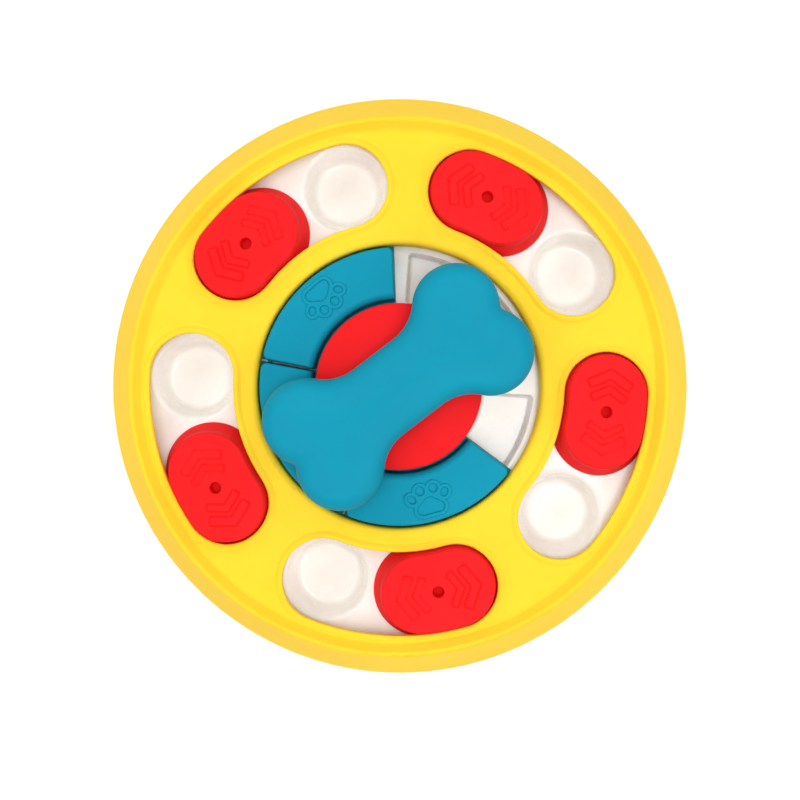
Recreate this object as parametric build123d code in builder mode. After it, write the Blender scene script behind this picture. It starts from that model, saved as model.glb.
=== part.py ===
"""Dog puzzle feeder toy: a round treat board with sliding lids, sector lids and a turning bone.

Millimetres. +Z is up, the origin is the centre of the footprint at floor level, and angles are
counted counter-clockwise from +X. Each separate piece is written to its own STEP file in parts/.
"""

import math
import os

from build123d import *

# ---------------------------------------------------------------- driving dimensions

# Heights, stacked up from the floor
well_floor_height = 3.0      # inside bottom of the treat wells
well_depth = 11.0            # from there up to the deck that the sliders run on
track_drop = 2.0             # the sector lids' track lies this much below the deck
slider_chamber = 10.0        # from the deck up to the top of the cover's dished floor
rim_rise = 4.0               # crest of the raised rim above that floor
slider_rise = 5.0            # top of the sliders above it
wedge_rise = 1.0             # top of the sector lids above it
dome_edge_rise = 0.8         # edge of the red dome above it
dome_rise = 3.6              # flat top of the dome, where the bone sits, above its edge
bone_depth = 17.6            # thickness of the bone
cover_edge_height = 0.5      # lower edge of the cover's outer wall

# Widths, added up from the middle outwards
dome_radius = 34.8
wedge_stand_off = 1.4        # from the dome's edge to the sector lids
wedge_width = 22.3
land_width = 6.7             # flat floor between the middle opening and the slots' lips
lip_width = 3.1
slot_width = 34.8
rim_slope_width = 4.4        # from the outer lips up to the rim's crest
cover_slope_width = 13.6     # from the crest down to the cover's edge

# Clearances
run_gap = 0.3                # under and over the pieces that slide
guide_gap = 0.4              # beside the pieces that slide
bearing_gap = 0.1            # round and over the centre post
screw_gap = 0.05             # between a screw and the plastic it cuts into
tip_room = 0.5               # left beyond a screw's tip
overlap = 0.2                # how far a boss reaches into the wall that it is moulded to
cutter_rise = 1.0            # how far a cutter stands out of what it cuts

# Wall thicknesses
cover_wall = 2.2
floor_thickness = 2.0
deck_thickness = 2.0
tray_wall = 1.8
slider_wall = 1.8
wedge_wall = 2.0
dome_wall = 2.0
bone_wall = 2.2

# Cover
base_band = 0.8              # upright band at the foot of the sloping wall
cover_edge_rounding = 0.5
cover_hollow_rounding = 1.0
opening_edge_radius = 2.5
rim_crest_rounding = 1.3
crest_overshoot = 0.6        # the rounding takes this much off the sharp crest
rim_inset = 0.4              # the hollow under the crest lies this much nearer the middle
rim_foot_rounding = 1.5
collar_wall = 2.2
lip_rise = 0.8
lip_slope = 1.4              # width of the lip's sloping outer side
lip_rounding = 0.6

# Slots, wells and sliders, all on one ring
slot_count = 5
first_slot_angle = 51.4
slot_end_angle = 18.6        # from the slot's centre to the centre of its round end
well_angle = 18.0            # from the slot's centre to each of its two wells
well_taper = 3.7             # a well's floor is this much smaller all round than its rim
well_rim_rounding = 2.4
well_floor_rounding = 3.0
slider_end_angle = 4.9       # from the slider's centre to the centre of its round end
slider_end_play = 0.15       # angle left between slider and slot end
skirt_reach = 3.0            # how far the slider's skirt spreads under the cover
skirt_edge = 1.0
slider_draft = 0.8           # the cap's top is this much smaller all round than its foot
slider_edge_rounding = 1.1
dimple_radius = 2.5
dimple_depth = 8.0
emboss_height = 0.6

# Sector lids and the curved compartments under them
wedge_count = 3
wedge_span = 76.45
wedge_rest_gap = 0.8
first_wedge_angle = 92.25    # clockwise end of the first sector lid
wedge_draft = 0.4            # the roof is this much smaller all round than the foot
wedge_corner_rounding = 2.5
wedge_edge_rounding = 0.9
wedge_inner_edge_rounding = 3.0
flange_thickness = 1.9
flange_reach = 4.1           # outer flange, under the cover's collar
compartment_count = 4
first_compartment_angle = 47.0
compartment_span = 78.0
compartment_inner_land = 3.0 # ledge between the guide ring and the compartments
compartment_reach = 1.3      # the compartments end this much before the sector lids' outer edge
compartment_corner = 1.8
compartment_draft = 0.7      # the floor is this much smaller all round than the mouth
compartment_floor_rounding = 1.0
compartment_rim_rounding = 0.5

# Paw print on each sector lid, drawn on a lid that points along +X, from the lid's middle circle
paw_ridge = 1.5
paw_front_pad = (3.2, 3.3)             # outwards, radius
paw_side_pad = (4.7, 3.6, 2.25)        # outwards, sideways, radius
paw_inner_toe = (-3.3, 2.85, 0)        # outwards, sideways, lean in degrees
paw_outer_toe = (-0.55, 7.0, 40)
paw_toe_length = 3.9
paw_toe_width = 3.3

# Chevrons on the sliders: apex, arm end and reach to the side on the arm's middle line, arm width
outer_chevron = (15.8, 11.0, 8.4, 3.2)
inner_chevron = (9.5, 5.55, 6.8, 2.5)

# Middle: dome, bone and centre post
dome_flat_radius = 17.0
dome_edge_rounding = 1.0
guide_ring_wall = 2.0
guide_ring_rise = 4.5
post_radius = 7.5
post_foot_drop = 2.0         # how far the post reaches below the track's underside
spindle_radius = 4.5
shoulder_radius = 9.5
shoulder_depth = 6.3         # the boss round the spindle, below the dome's ceiling
bone_angle = 37.4
lobe_along = 38.2
lobe_across = 11.4
lobe_radius = 17.8
waist_half_width = 16.6
waist_rounding = 20.0
notch_rounding = 2.5
bone_top_rounding = 6.0
bone_foot_rounding = 1.2
bone_plate_thickness = 2.0
bone_fit_gap = 0.2
bone_screw_inset = 3.0       # from the edge of the dome's flat top to the bone screws
bone_boss_radius = 3.8

# Screws, washer and feet
screw_radius = 1.5
screw_head_radius = 2.9
screw_head_height = 2.2
screw_head_rounding = 0.8
recess_width = 0.9
screw_boss_radius = 3.8
screw_seat_depth = 1.0       # a screw's seat lies this much below the wall that it goes through
case_screw_inset = 8.5       # the case screws lie this much nearer the middle than the slots' ring
case_screw_bite = 6.5        # how far they reach into the cover's bosses
bone_screw_bite = 9.0
pivot_screw_radius = 1.8
pivot_head_radius = 3.4
pivot_screw_bite = 12.0
washer_radius = 6.8
washer_thickness = 1.0
foot_inset = 12.3            # from the tray's outer wall to the middle of a foot
foot_radius = 6.5
foot_height = 2.5
foot_rounding = 0.8
foot_stem_radius = 2.4
foot_stem_height = 5.0
foot_boss_radius = 7.0
tray_skirt_foot = 4.0

# ---------------------------------------------------------------- values worked out from them

deck_height = well_floor_height + well_depth
track_height = deck_height - track_drop
floor_height = deck_height + slider_chamber
rim_height = floor_height + rim_rise
slider_height = floor_height + slider_rise
wedge_height = floor_height + wedge_rise
dome_edge_height = floor_height + dome_edge_rise
dome_height = dome_edge_height + dome_rise
bone_height = dome_height + bone_depth
wedge_inner_radius = dome_radius + wedge_stand_off
wedge_outer_radius = wedge_inner_radius + wedge_width
wedge_middle_radius = wedge_inner_radius + wedge_width / 2
opening_radius = wedge_outer_radius + 2 * guide_gap
ring_radius = opening_radius + land_width + lip_width + slot_width / 2
rim_foot_radius = ring_radius + slot_width / 2 + lip_width
rim_radius = rim_foot_radius + rim_slope_width
base_radius = rim_radius + cover_slope_width
floor_underside = floor_height - floor_thickness
deck_underside = deck_height - deck_thickness
track_underside = track_height - deck_thickness
wedge_foot = track_height + run_gap
flange_top = wedge_foot + flange_thickness
collar_foot = flange_top + guide_gap
slider_foot = deck_height + run_gap
skirt_top = floor_underside - guide_gap
slider_cap_width = slot_width - 2 * guide_gap
slider_top_width = slider_cap_width - 2 * slider_draft
slider_skirt_width = slider_cap_width + 2 * skirt_reach
slider_angle = slot_end_angle - slider_end_angle - slider_end_play
slot_pitch = 360 / slot_count
screw_angle = first_slot_angle + slot_pitch / 2
well_rim_radius = slot_width / 2
well_floor_radius = well_rim_radius - well_taper
compartment_outer_radius = wedge_outer_radius - compartment_reach
wedge_flange_radius = wedge_outer_radius + flange_reach
track_radius = wedge_flange_radius + 2 * guide_gap
wedge_pitch = wedge_span + wedge_rest_gap
dome_skirt_inner = dome_radius - dome_wall
guide_ring_radius = dome_skirt_inner - guide_gap
wedge_flange_inner = guide_ring_radius + guide_gap
compartment_inner_radius = guide_ring_radius + compartment_inner_land
post_bore_radius = spindle_radius + bearing_gap
shoulder_height = dome_height - dome_wall - shoulder_depth
post_height = shoulder_height - bearing_gap
post_foot_height = track_underside - post_foot_drop
spindle_foot = post_foot_height - run_gap
bone_foot = dome_height
bone_inner_height = bone_height - bone_wall
bone_plate_top = bone_foot + bone_plate_thickness
bone_screw_offset = dome_flat_radius - bone_screw_inset
bone_screw_seat = dome_height - dome_wall - screw_seat_depth
bone_screw_length = bone_plate_top - bone_screw_seat + bone_screw_bite
case_screw_radius = ring_radius - case_screw_inset
case_screw_seat = deck_underside - screw_seat_depth
case_screw_length = deck_height - case_screw_seat + case_screw_bite
wedge_end_wall_angle = math.degrees(wedge_wall / wedge_inner_radius)
inner_wall_slope = (base_radius - rim_radius + rim_inset - cover_wall) / (
    rim_height - cover_wall - cover_edge_height
)
tray_skirt_radius = (
    rim_radius - rim_inset + (rim_height - cover_wall - deck_height) * inner_wall_slope - guide_gap
)
foot_ring_radius = tray_skirt_radius - foot_inset

os.makedirs("parts", exist_ok=True)


def place(radius, angle):
    """Point on a circle round the toy's middle"""
    return (radius * math.cos(math.radians(angle)), radius * math.sin(math.radians(angle)))


def distance_out(point):
    """How far a point lies from the toy's vertical middle line"""
    return math.hypot(point.X, point.Y)


def ring_slot(centre_angle, end_angle, width):
    """Kidney outline along the ring that the slots lie on"""
    with BuildSketch() as outline:
        with BuildLine(mode=Mode.PRIVATE) as path:
            CenterArc((0, 0), ring_radius, centre_angle - end_angle, 2 * end_angle)
        SlotArc(path.edge(), width)
    return outline.sketch


def sector(inner, outer, centre_angle, span, inner_rounding, outer_rounding, inset=0):
    """Flat sector of a ring with straight radial ends and rounded corners, drawn smaller by the inset"""
    start = centre_angle - span / 2
    with BuildSketch() as outline:
        with BuildLine():
            inside = CenterArc((0, 0), inner, start, span)
            outside = CenterArc((0, 0), outer, start, span)
            Line(inside @ 0, outside @ 0)
            Line(inside @ 1, outside @ 1)
        make_face()
        if outer_rounding:
            fillet(outline.vertices().sort_by_distance((0, 0))[-2:], outer_rounding)
        if inner_rounding:
            fillet(outline.vertices().sort_by_distance((0, 0))[:2], inner_rounding)
        if inset:
            offset(amount=-inset, mode=Mode.REPLACE)
    return outline.sketch


def bone_outline(inset):
    """Four round lobes joined by a straight waist, drawn smaller by the inset"""
    with BuildSketch() as outline:
        with GridLocations(2 * lobe_along, 2 * lobe_across, 2, 2):
            Circle(lobe_radius)
        Rectangle(2 * lobe_along, 2 * waist_half_width)
        corners = outline.vertices().group_by(SortBy.DISTANCE)
        fillet(corners[-1], notch_rounding)
        fillet(outline.vertices().group_by(SortBy.DISTANCE)[0], waist_rounding)
        if inset:
            offset(amount=-inset, mode=Mode.REPLACE)
    return outline.sketch


def save(piece, name):
    """Label a finished piece and write it to its own file"""
    piece.label = name
    export_step(piece, f"parts/{name}.step")
    print(f"{name}: {piece.volume:.0f} mm3")


trough_span = compartment_span + 2 * math.degrees(tray_wall / compartment_inner_radius)
trough_corner = compartment_corner + tray_wall
bone_screw_places = [place(side * bone_screw_offset, bone_angle) for side in (1, -1)]
well_places = [
    place(ring_radius, first_slot_angle + slot * slot_pitch + side * well_angle)
    for slot in range(slot_count)
    for side in (-1, 1)
]

# ---------------------------------------------------------------- cover

# One raised lip, rounded on its own so that it can be joined to the sloping rim
with BuildPart() as slot_lip:
    with BuildSketch(Plane.XY.offset(floor_underside)):
        add(ring_slot(first_slot_angle, slot_end_angle, slot_width + 2 * lip_width))
    extrude(amount=floor_thickness)
    for height, inset in ((floor_height, 0), (floor_height + lip_rise, lip_slope)):
        with BuildSketch(Plane.XY.offset(height)):
            add(ring_slot(first_slot_angle, slot_end_angle, slot_width + 2 * (lip_width - inset)))
    loft(ruled=True)
    with BuildSketch(Plane.XY.offset(floor_underside)):
        add(ring_slot(first_slot_angle, slot_end_angle, slot_width))
    extrude(amount=rim_height, mode=Mode.SUBTRACT)
    fillet(slot_lip.faces().sort_by(Axis.Z)[-1].edges(), lip_rounding)

with BuildPart() as top_cover:
    with BuildSketch(Plane.XZ):
        with BuildLine():
            FilletPolyline(
                (base_radius, cover_edge_height),
                (base_radius, cover_edge_height + base_band),
                (rim_radius, rim_height + crest_overshoot),
                (rim_foot_radius, floor_height),
                (opening_radius, floor_height),
                (opening_radius, collar_foot),
                (opening_radius + collar_wall, collar_foot),
                (opening_radius + collar_wall, floor_underside),
                (rim_foot_radius, floor_underside),
                (rim_radius - rim_inset, rim_height - cover_wall),
                (base_radius - cover_wall, cover_edge_height),
                radius=[cover_edge_rounding, cover_edge_rounding, rim_crest_rounding,
                        rim_foot_rounding, opening_edge_radius, cover_edge_rounding,
                        cover_edge_rounding, cover_hollow_rounding, cover_hollow_rounding,
                        cover_edge_rounding, cover_edge_rounding],
                close=True,
            )
        make_face()
    revolve(axis=Axis.Z)
    with BuildSketch(Plane.XY.offset(floor_underside)):
        with PolarLocations(0, slot_count):
            add(ring_slot(first_slot_angle, slot_end_angle, slot_width + lip_width))
    extrude(amount=rim_height, mode=Mode.SUBTRACT)
    with PolarLocations(0, slot_count):
        add(slot_lip.part)
    with BuildSketch(Plane.XY.offset(deck_height)):
        with PolarLocations(case_screw_radius, slot_count, start_angle=screw_angle):
            Circle(screw_boss_radius)
    extrude(amount=floor_underside - deck_height + overlap)
    with BuildSketch(Plane.XY.offset(deck_height)):
        with PolarLocations(case_screw_radius, slot_count, start_angle=screw_angle):
            Circle(screw_radius + screw_gap)
    extrude(amount=case_screw_bite + tip_room, mode=Mode.SUBTRACT)

save(top_cover.part, "top_cover")


# ---------------------------------------------------------------- tray

# The hollow of one treat well and of one curved compartment, used as cutters
with BuildPart() as well_hollow:
    with BuildSketch(Plane.XZ):
        with BuildLine():
            FilletPolyline(
                (0, well_floor_height),
                (well_floor_radius, well_floor_height),
                (well_rim_radius, deck_height),
                (well_rim_radius + 2 * well_rim_rounding, deck_height),
                (well_rim_radius + 2 * well_rim_rounding, deck_height + cutter_rise),
                (0, deck_height + cutter_rise),
                radius=[0, well_floor_rounding, well_rim_rounding, 0, 0, 0],
                close=True,
            )
        make_face()
    revolve(axis=Axis.Z)

with BuildPart() as compartment_hollow:
    for height, inset in ((track_height + cutter_rise, 0), (well_floor_height, compartment_draft)):
        with BuildSketch(Plane.XY.offset(height)):
            add(sector(compartment_inner_radius, compartment_outer_radius, first_compartment_angle,
                       compartment_span, compartment_corner, compartment_corner, inset))
    loft(ruled=True)
    fillet(compartment_hollow.faces().sort_by(Axis.Z)[0].edges(), compartment_floor_rounding)

with BuildPart() as compartment_trough:
    for height, inset in ((track_height, 0), (well_floor_height - tray_wall, compartment_draft)):
        with BuildSketch(Plane.XY.offset(height)):
            add(sector(compartment_inner_radius - tray_wall, compartment_outer_radius + tray_wall,
                       first_compartment_angle, trough_span, trough_corner, trough_corner, inset))
    loft(ruled=True)

with BuildPart() as treat_tray:
    with BuildSketch(Plane.XZ):
        with BuildLine():
            Polyline(
                (0, track_underside),
                (track_radius + tray_wall, track_underside),
                (track_radius + tray_wall, deck_underside),
                (tray_skirt_radius - tray_wall, deck_underside),
                (tray_skirt_radius - tray_wall, tray_skirt_foot),
                (tray_skirt_radius, tray_skirt_foot),
                (tray_skirt_radius, deck_height),
                (track_radius, deck_height),
                (track_radius, track_height),
                (guide_ring_radius, track_height),
                (guide_ring_radius, track_height + guide_ring_rise),
                (guide_ring_radius - guide_ring_wall, track_height + guide_ring_rise),
                (guide_ring_radius - guide_ring_wall, track_height),
                (0, track_height),
                close=True,
            )
        make_face()
    revolve(axis=Axis.Z)
    # Outside of the wells: plain cups that hang under the deck
    with Locations(*[(*spot, well_floor_height - tray_wall) for spot in well_places]):
        Cone(
            well_floor_radius + tray_wall,
            well_rim_radius + tray_wall,
            deck_height - well_floor_height + tray_wall,
            align=(Align.CENTER, Align.CENTER, Align.MIN),
        )
    # Outside of the compartments
    with PolarLocations(0, compartment_count):
        add(compartment_trough.part)
    # Post, screw bosses and foot bosses
    with BuildSketch(Plane.XY.offset(post_foot_height)):
        Circle(post_radius)
    extrude(amount=post_height - post_foot_height)
    with BuildSketch(Plane.XY.offset(deck_underside)):
        with PolarLocations(case_screw_radius, slot_count, start_angle=screw_angle):
            Circle(screw_head_radius + guide_gap + tray_wall)
    extrude(amount=-(deck_underside - case_screw_seat + screw_head_height + tip_room))
    with BuildSketch(Plane.XY.offset(deck_underside)):
        with PolarLocations(foot_ring_radius, slot_count, start_angle=screw_angle):
            Circle(foot_boss_radius)
    extrude(amount=-(deck_underside - foot_height))
    # Hollows
    with Locations(*well_places):
        add(well_hollow.part, mode=Mode.SUBTRACT)
    with PolarLocations(0, compartment_count):
        add(compartment_hollow.part, mode=Mode.SUBTRACT)
    mouth_edges = treat_tray.edges().filter_by(
        lambda edge: abs(edge.position_at(0.5).Z - track_height) < screw_gap
        and compartment_inner_radius < distance_out(edge.position_at(0.5)) < compartment_outer_radius
    )
    fillet(mouth_edges, compartment_rim_rounding)
    with BuildSketch(Plane.XY.offset(post_foot_height)):
        Circle(post_bore_radius)
    extrude(amount=post_height, mode=Mode.SUBTRACT)
    with BuildSketch(Plane.XY.offset(deck_height)):
        with PolarLocations(case_screw_radius, slot_count, start_angle=screw_angle):
            Circle(screw_radius + 2 * screw_gap)
    extrude(amount=-deck_height, mode=Mode.SUBTRACT)
    with BuildSketch(Plane.XY.offset(case_screw_seat)):
        with PolarLocations(case_screw_radius, slot_count, start_angle=screw_angle):
            Circle(screw_head_radius + guide_gap)
    extrude(amount=-deck_height, mode=Mode.SUBTRACT)
    with BuildSketch(Plane.XY.offset(foot_height)):
        with PolarLocations(foot_ring_radius, slot_count, start_angle=screw_angle):
            Circle(foot_stem_radius + screw_gap)
    extrude(amount=foot_stem_height + run_gap, mode=Mode.SUBTRACT)

save(treat_tray.part, "treat_tray")


# ---------------------------------------------------------------- sliders

def chevron(apex, arm_end, arm_reach, arm_width, side):
    """One V-shaped ridge that points away from the slider's middle"""
    lean = math.atan2(arm_reach, apex - arm_end)
    tip = arm_width / 2 / math.sin(lean)
    along = arm_width / 2 * math.sin(lean)
    across = arm_width / 2 * math.cos(lean)
    with BuildSketch() as ridge:
        with BuildLine():
            Polyline(
                (side * (apex + tip), 0),
                (side * (arm_end + along), arm_reach + across),
                (side * (arm_end - along), arm_reach - across),
                (side * (apex - tip), 0),
                (side * (arm_end - along), across - arm_reach),
                (side * (arm_end + along), -arm_reach - across),
                close=True,
            )
        make_face()
    return ridge.sketch


with BuildPart() as slider:
    rest = first_slot_angle + slider_angle
    # Skirt that stays under the cover, sloping in to the cap
    with BuildSketch(Plane.XY.offset(slider_foot)):
        add(ring_slot(rest, slider_end_angle, slider_skirt_width))
    extrude(amount=skirt_edge)
    with BuildSketch(Plane.XY.offset(slider_foot + skirt_edge)):
        add(ring_slot(rest, slider_end_angle, slider_skirt_width))
    with BuildSketch(Plane.XY.offset(skirt_top)):
        add(ring_slot(rest, slider_end_angle, slider_cap_width))
    loft()
    with BuildSketch(Plane.XY.offset(skirt_top)):
        add(ring_slot(rest, slider_end_angle, slider_cap_width))
    with BuildSketch(Plane.XY.offset(slider_height)):
        add(ring_slot(rest, slider_end_angle, slider_top_width))
    loft(ruled=True)
    top_edges = slider.faces().sort_by(Axis.Z)[-1].edges()
    fillet(top_edges, slider_edge_rounding)
    # Hollow, open below
    with BuildSketch(Plane.XY.offset(slider_foot)):
        add(ring_slot(rest, slider_end_angle, slider_skirt_width - 2 * slider_wall))
    with BuildSketch(Plane.XY.offset(skirt_top)):
        add(ring_slot(rest, slider_end_angle, slider_cap_width - 2 * slider_wall))
    loft(mode=Mode.SUBTRACT)
    with BuildSketch(Plane.XY.offset(skirt_top)):
        add(ring_slot(rest, slider_end_angle, slider_cap_width - 2 * slider_wall))
    with BuildSketch(Plane.XY.offset(slider_height - slider_wall)):
        add(ring_slot(rest, slider_end_angle, slider_top_width - 2 * slider_wall))
    loft(ruled=True, mode=Mode.SUBTRACT)
    # Dimple with its own little cup under the top
    with BuildSketch(Plane.XY.offset(slider_height - slider_wall)):
        with Locations(place(ring_radius, rest)):
            Circle(dimple_radius + slider_wall)
    extrude(amount=-dimple_depth)
    with BuildSketch(Plane.XY.offset(slider_height)):
        with Locations(place(ring_radius, rest)):
            Circle(dimple_radius)
    extrude(amount=-dimple_depth, mode=Mode.SUBTRACT)
    # Raised chevrons, in a frame whose X runs along the ring
    with BuildSketch(Plane((*place(ring_radius, rest), slider_height), x_dir=(*place(1, rest + 90), 0))):
        for side in (1, -1):
            add(chevron(*outer_chevron, side))
            add(chevron(*inner_chevron, side))
    extrude(amount=emboss_height)

for number in range(slot_count):
    save(slider.part.rotate(Axis.Z, number * slot_pitch), f"slider_{number + 1}")


# ---------------------------------------------------------------- sector lids

def paw(grow):
    """Paw print: a soft triangular pad with four toes, each outline grown by the same amount"""
    front, front_radius = paw_front_pad
    side, sideways, side_radius = paw_side_pad
    with BuildSketch() as pad:
        with Locations((wedge_middle_radius + front, 0)):
            Circle(front_radius + grow)
        with Locations((wedge_middle_radius + side, sideways), (wedge_middle_radius + side, -sideways)):
            Circle(side_radius + grow)
        make_hull()
    with BuildSketch() as print_shape:
        add(pad.sketch)
        for out, aside, lean in (paw_inner_toe, paw_outer_toe):
            for side in (1, -1):
                with Locations((wedge_middle_radius + out, side * aside)):
                    Ellipse(paw_toe_length / 2 + grow, paw_toe_width / 2 + grow, rotation=-side * lean)
    return print_shape.sketch


with BuildPart() as wedge:
    for height, inset in ((flange_top, 0), (wedge_height, wedge_draft)):
        with BuildSketch(Plane.XY.offset(height)):
            add(sector(wedge_inner_radius, wedge_outer_radius, 0, wedge_span, 0,
                       wedge_corner_rounding, inset))
    loft(ruled=True)
    roof = wedge.faces().sort_by(Axis.Z)[-1]
    fillet(roof.edges().sort_by_distance((0, 0, wedge_height))[0], wedge_inner_edge_rounding)
    # The small rounding runs round the roof and down the inner corners of both ends
    roof = wedge.faces().sort_by(Axis.Z)[-1]
    inner_corners = wedge.edges().filter_by(
        lambda edge: flange_top < edge.center().Z - run_gap
        and distance_out(edge.center()) < wedge_inner_radius + wedge_inner_edge_rounding
        and abs(edge.center().Y) > wedge_wall
    )
    fillet(roof.edges().sort_by_distance((0, 0, wedge_height))[1:] + inner_corners, wedge_edge_rounding)
    # Flanges that run under the collar and under the dome
    with BuildSketch(Plane.XY.offset(wedge_foot)):
        add(sector(wedge_flange_inner, wedge_flange_radius, 0, wedge_span, 0, 0))
    extrude(amount=flange_thickness)
    # Hollow, open below
    with BuildSketch(Plane.XY.offset(wedge_foot)):
        add(sector(wedge_inner_radius + wedge_wall, wedge_outer_radius - wedge_wall, 0,
                   wedge_span - 2 * wedge_end_wall_angle, wedge_wall, wedge_wall))
    extrude(amount=wedge_height - wedge_wall - wedge_foot, mode=Mode.SUBTRACT)
    # Raised paw outline with sunken pads
    with BuildSketch(Plane.XY.offset(wedge_height - emboss_height)):
        add(paw(paw_ridge))
    extrude(amount=2 * emboss_height)
    with BuildSketch(Plane.XY.offset(wedge_height + emboss_height)):
        add(paw(0))
    extrude(amount=-1.5 * emboss_height, mode=Mode.SUBTRACT)

for number in range(wedge_count):
    turn = first_wedge_angle + wedge_span / 2 + number * wedge_pitch
    save(wedge.part.rotate(Axis.Z, turn), f"wedge_cover_{number + 1}")


# ---------------------------------------------------------------- dome and bone

with BuildPart() as hub_dome:
    with BuildSketch(Plane.XZ) as dome_section:
        with BuildLine():
            flat = Line((0, dome_height), (dome_flat_radius, dome_height))
            crown = TangentArc(flat @ 1, (dome_radius, dome_edge_height), tangent=(1, 0))
            skirt = Polyline(
                crown @ 1,
                (dome_radius, collar_foot),
                (dome_skirt_inner, collar_foot),
                (dome_skirt_inner, dome_edge_height - dome_wall),
            )
            ceiling = TangentArc((dome_flat_radius, dome_height - dome_wall), skirt @ 1, tangent=(1, 0))
            Polyline(
                ceiling @ 0,
                (shoulder_radius, dome_height - dome_wall),
                (shoulder_radius, shoulder_height),
                (spindle_radius, shoulder_height),
                (spindle_radius, spindle_foot),
                (0, spindle_foot),
                flat @ 0,
            )
        make_face()
        fillet(dome_section.vertices().sort_by_distance((dome_radius, dome_edge_height))[0],
               dome_edge_rounding)
    revolve(axis=Axis.Z)
    # Bosses for the bone screws
    with BuildSketch(Plane.XY.offset(bone_screw_seat - screw_head_height - run_gap)):
        with Locations(*bone_screw_places):
            Circle(bone_boss_radius + guide_gap)
    extrude(until=Until.NEXT)
    with BuildSketch(Plane.XY.offset(bone_screw_seat)):
        with Locations(*bone_screw_places):
            Circle(screw_radius + 2 * screw_gap)
    extrude(amount=dome_height, mode=Mode.SUBTRACT)
    with BuildSketch(Plane.XY.offset(bone_screw_seat)):
        with Locations(*bone_screw_places):
            Circle(screw_head_radius + guide_gap)
    extrude(amount=-dome_height, mode=Mode.SUBTRACT)
    # Pilot hole for the pivot screw
    with BuildSketch(Plane.XY.offset(spindle_foot)):
        Circle(pivot_screw_radius + screw_gap)
    extrude(amount=pivot_screw_bite + tip_room, mode=Mode.SUBTRACT)

save(hub_dome.part, "hub_dome")

with BuildPart() as bone_hollow:
    with BuildSketch(Plane.XY.offset(bone_foot)):
        add(bone_outline(bone_wall), rotation=bone_angle)
    extrude(amount=bone_inner_height - bone_foot)
    fillet(bone_hollow.faces().sort_by(Axis.Z)[-1].edges(), bone_top_rounding - bone_wall)

with BuildPart() as bone_top:
    with BuildSketch(Plane.XY.offset(bone_foot)):
        add(bone_outline(0), rotation=bone_angle)
    extrude(amount=bone_height - bone_foot)
    fillet(bone_top.faces().sort_by(Axis.Z)[-1].edges(), bone_top_rounding)
    fillet(bone_top.faces().sort_by(Axis.Z)[0].edges(), bone_foot_rounding)
    add(bone_hollow.part, mode=Mode.SUBTRACT)
    with BuildSketch(Plane.XY.offset(bone_plate_top)):
        with Locations(*bone_screw_places):
            Circle(bone_boss_radius)
    extrude(amount=bone_inner_height - bone_plate_top + overlap)
    with BuildSketch(Plane.XY.offset(bone_plate_top)):
        with Locations(*bone_screw_places):
            Circle(screw_radius + screw_gap)
    extrude(amount=bone_screw_bite + tip_room, mode=Mode.SUBTRACT)

save(bone_top.part, "bone_top")

with BuildPart() as bone_base:
    with BuildSketch(Plane.XY.offset(bone_foot)):
        add(bone_outline(bone_wall + bone_fit_gap), rotation=bone_angle)
        with Locations(*bone_screw_places):
            Circle(screw_radius + 2 * screw_gap, mode=Mode.SUBTRACT)
    extrude(amount=bone_plate_thickness)

save(bone_base.part, "bone_base")


# ---------------------------------------------------------------- screws, washer and feet

def screw(seat_height, shank_length, shank_radius, head_radius):
    """Pan-head screw on the Z axis with its head below the seat and its tip upwards"""
    with BuildPart() as one_screw:
        with BuildSketch(Plane.XZ):
            with BuildLine():
                FilletPolyline(
                    (0, seat_height - screw_head_height),
                    (head_radius, seat_height - screw_head_height),
                    (head_radius, seat_height),
                    (shank_radius, seat_height),
                    (shank_radius, seat_height + shank_length - shank_radius),
                    (0, seat_height + shank_length),
                    radius=[0, screw_head_rounding, 0, 0, 0, 0],
                    close=True,
                )
            make_face()
        revolve(axis=Axis.Z)
        # Cross recess
        with BuildSketch(Plane.XY.offset(seat_height - screw_head_height)):
            Rectangle(head_radius, recess_width)
            Rectangle(recess_width, head_radius)
        extrude(amount=screw_head_height / 2, mode=Mode.SUBTRACT)
    return one_screw.part


with BuildPart() as case_screws:
    with PolarLocations(case_screw_radius, slot_count, start_angle=screw_angle):
        add(screw(case_screw_seat, case_screw_length, screw_radius, screw_head_radius))

save(case_screws.part, "case_screws")

with BuildPart() as bone_screws:
    with Locations(*bone_screw_places):
        add(screw(bone_screw_seat, bone_screw_length, screw_radius, screw_head_radius))

save(bone_screws.part, "bone_screws")

save(
    screw(spindle_foot - washer_thickness, washer_thickness + pivot_screw_bite,
          pivot_screw_radius, pivot_head_radius),
    "pivot_screw",
)

with BuildPart() as pivot_washer:
    with BuildSketch(Plane.XY.offset(spindle_foot - washer_thickness)):
        Circle(washer_radius)
        Circle(pivot_screw_radius + screw_gap, mode=Mode.SUBTRACT)
    extrude(amount=washer_thickness)

save(pivot_washer.part, "pivot_washer")

with BuildPart() as foot:
    with BuildSketch(Plane.XZ):
        with BuildLine():
            FilletPolyline(
                (0, 0),
                (foot_radius, 0),
                (foot_radius, foot_height),
                (foot_stem_radius, foot_height),
                (foot_stem_radius, foot_height + foot_stem_height),
                (0, foot_height + foot_stem_height),
                radius=[0, foot_rounding, foot_rounding / 2, 0, foot_rounding / 2, 0],
                close=True,
            )
        make_face()
    revolve(axis=Axis.Z)

for number in range(slot_count):
    spot = place(foot_ring_radius, screw_angle + number * slot_pitch)
    save(foot.part.moved(Location((*spot, 0))), f"rubber_foot_{number + 1}")
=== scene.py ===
# %% [markdown]
# # A round treat puzzle for dogs, dressed in Blender
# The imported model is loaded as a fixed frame: every node already stands in its place, in metres, with
# +Z up and the toy's middle at the origin. This lesson gives the visible mouldings smooth, softly
# rounded meshes of their own, paints every piece with a node material, and lights it like a small
# product studio.

# %% Load the frame
import math

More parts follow.
